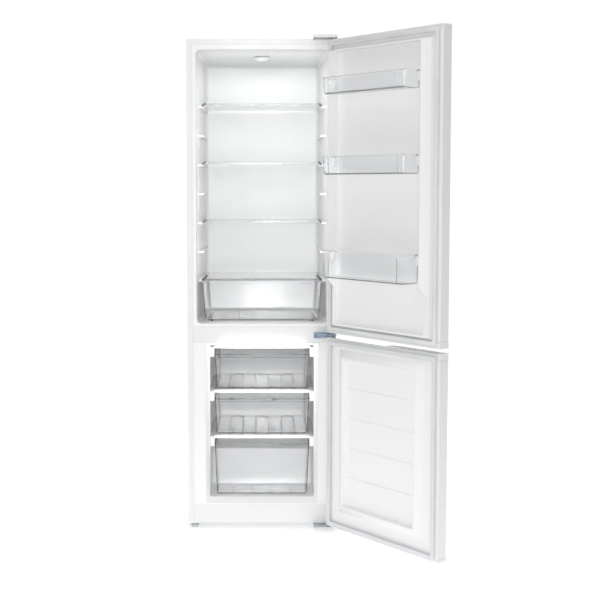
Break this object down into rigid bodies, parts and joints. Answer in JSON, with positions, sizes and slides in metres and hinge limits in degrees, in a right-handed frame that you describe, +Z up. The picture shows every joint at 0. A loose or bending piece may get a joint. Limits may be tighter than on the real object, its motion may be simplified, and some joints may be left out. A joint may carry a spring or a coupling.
{
  "type": "bottom freezer refrigerator",
  "caption": "Tall free-standing two-door refrigerator with the freezer below, shown open, with glass shelves, clear crisper, freezer drawers and door balconies.",
  "frame": {"origin": "on the floor under the middle of the overall box, both doors standing open as modelled", "axes": "+Z up, the cabinet's front faces -Y, +X to the right seen from the front (the hinge side)"},
  "size_m": [0.8874, 0.9769, 1.81],
  "materials": {
    "enamel": "satin white paint",
    "liner": "satin white formed sheet",
    "white_plastic": "satin",
    "clear_plastic": "clear",
    "glass": "toughened, polished",
    "foam": "rigid foam",
    "seal": "soft, matt",
    "zinc": "blue zinc plate",
    "galvanised": "galvanised sheet",
    "black_enamel": "black paint",
    "black_plastic": "matt",
    "grey_plastic": "matt",
    "copper": "drawn copper tube",
    "lens": "frosted"
  },
  "bodies": {
    "cabinet": {"back_panel": "galvanised", "base_plate": "galvanised", "bottom_hinge": "zinc", "bottom_rail": "enamel", "cabinet_insulation": "foam", "cabinet_shell": "enamel", "compressor": "black_enamel", "compressor_mount": "black_enamel", "condenser": "black_enamel", "crisper_cover_glass": "glass", "crisper_cover_trim": "white_plastic", "discharge_tube": "copper", "drain_tube": "grey_plastic", "evaporation_tray": "grey_plastic", "evaporator_trim_bottom": "white_plastic", "evaporator_trim_middle": "white_plastic", "evaporator_trim_top": "white_plastic", "filter_drier": "copper", "freezer_evaporator": "galvanised", "freezer_liner": "liner", "fridge_evaporator": "galvanised", "fridge_liner": "liner", "lamp_lens": "lens", "middle_hinge": "zinc", "middle_rail": "enamel", "shelf_lower_glass": "glass", "shelf_lower_trim": "white_plastic", "shelf_middle_glass": "glass", "shelf_middle_trim": "white_plastic", "shelf_upper_glass": "glass", "shelf_upper_trim": "white_plastic", "suction_tube": "copper", "terminal_box": "black_plastic", "top_hinge": "zinc", "top_hinge_cover": "white_plastic"},
    "fridge_door": {"fridge_door_skin": "enamel", "fridge_door_liner": "liner", "fridge_door_insulation": "foam", "fridge_door_seal": "seal", "fridge_door_top_cap": "white_plastic", "fridge_door_bottom_cap": "white_plastic"},
    "freezer_door": {"freezer_door_skin": "enamel", "freezer_door_liner": "liner", "freezer_door_insulation": "foam", "freezer_door_seal": "seal", "freezer_door_top_cap": "white_plastic", "freezer_door_bottom_cap": "white_plastic"},
    "crisper_drawer": {"crisper_drawer": "clear_plastic"},
    "freezer_drawer_top": {"freezer_drawer_top": "clear_plastic"},
    "freezer_drawer_middle": {"freezer_drawer_middle": "clear_plastic"},
    "freezer_drawer_bottom": {"freezer_drawer_bottom": "clear_plastic"},
    "balcony_top": {"balcony_top": "clear_plastic"},
    "balcony_middle": {"balcony_middle": "clear_plastic"},
    "balcony_bottom": {"balcony_bottom": "clear_plastic"},
    "thermostat_dial": {"thermostat_dial": "white_plastic"},
    "front_foot_left": {"front_foot_left": "grey_plastic"},
    "front_foot_right": {"front_foot_right": "grey_plastic"},
    "rear_roller_left": {"rear_roller_left": "black_plastic"},
    "rear_roller_right": {"rear_roller_right": "black_plastic"}
  },
  "joints": [
    {"name": "fridge_door_hinge", "type": "hinge", "parent": "cabinet", "child": "fridge_door", "pos_m": [0.08768, -0.06532, 1.2655], "axis": [0, 0, 1], "range_deg": [-129.5, 5.5]},
    {"name": "freezer_door_hinge", "type": "hinge", "parent": "cabinet", "child": "freezer_door", "pos_m": [0.08768, -0.06532, 0.37315], "axis": [0, 0, 1], "range_deg": [-129.5, 5.5]},
    {"name": "crisper_slide", "type": "slide", "parent": "cabinet", "child": "crisper_drawer", "axis": [0, -1, 0], "range_m": [0, 0.25]},
    {"name": "freezer_drawer_top_slide", "type": "slide", "parent": "cabinet", "child": "freezer_drawer_top", "axis": [0, -1, 0], "range_m": [0, 0.28]},
    {"name": "freezer_drawer_middle_slide", "type": "slide", "parent": "cabinet", "child": "freezer_drawer_middle", "axis": [0, -1, 0], "range_m": [0, 0.28]},
    {"name": "freezer_drawer_bottom_slide", "type": "slide", "parent": "cabinet", "child": "freezer_drawer_bottom", "axis": [0, -1, 0], "range_m": [0, 0.12]},
    {"name": "balcony_top_lift", "type": "slide", "parent": "fridge_door", "child": "balcony_top", "axis": [0, 0, 1], "range_m": [0, 0.04]},
    {"name": "balcony_middle_lift", "type": "slide", "parent": "fridge_door", "child": "balcony_middle", "axis": [0, 0, 1], "range_m": [0, 0.04]},
    {"name": "balcony_bottom_lift", "type": "slide", "parent": "fridge_door", "child": "balcony_bottom", "axis": [0, 0, 1], "range_m": [0, 0.04]},
    {"name": "thermostat_turn", "type": "hinge", "parent": "cabinet", "child": "thermostat_dial", "pos_m": [-0.17152, 0.15698, 1.75034], "axis": [0, 0, 1], "range_deg": [0, 270]},
    {"name": "front_foot_left_turn", "type": "hinge", "parent": "cabinet", "child": "front_foot_left", "pos_m": [-0.42202, -0.00302, 0.02], "axis": [0, 0, 1], "continuous": true},
    {"name": "front_foot_right_turn", "type": "hinge", "parent": "cabinet", "child": "front_foot_right", "pos_m": [0.07898, -0.00302, 0.02], "axis": [0, 0, 1], "continuous": true},
    {"name": "rear_roller_left_turn", "type": "hinge", "parent": "cabinet", "child": "rear_roller_left", "pos_m": [-0.39402, 0.42898, 0.01], "axis": [1, 0, 0], "continuous": true},
    {"name": "rear_roller_right_turn", "type": "hinge", "parent": "cabinet", "child": "rear_roller_right", "pos_m": [0.05098, 0.42898, 0.01], "axis": [1, 0, 0], "continuous": true}
  ]
}
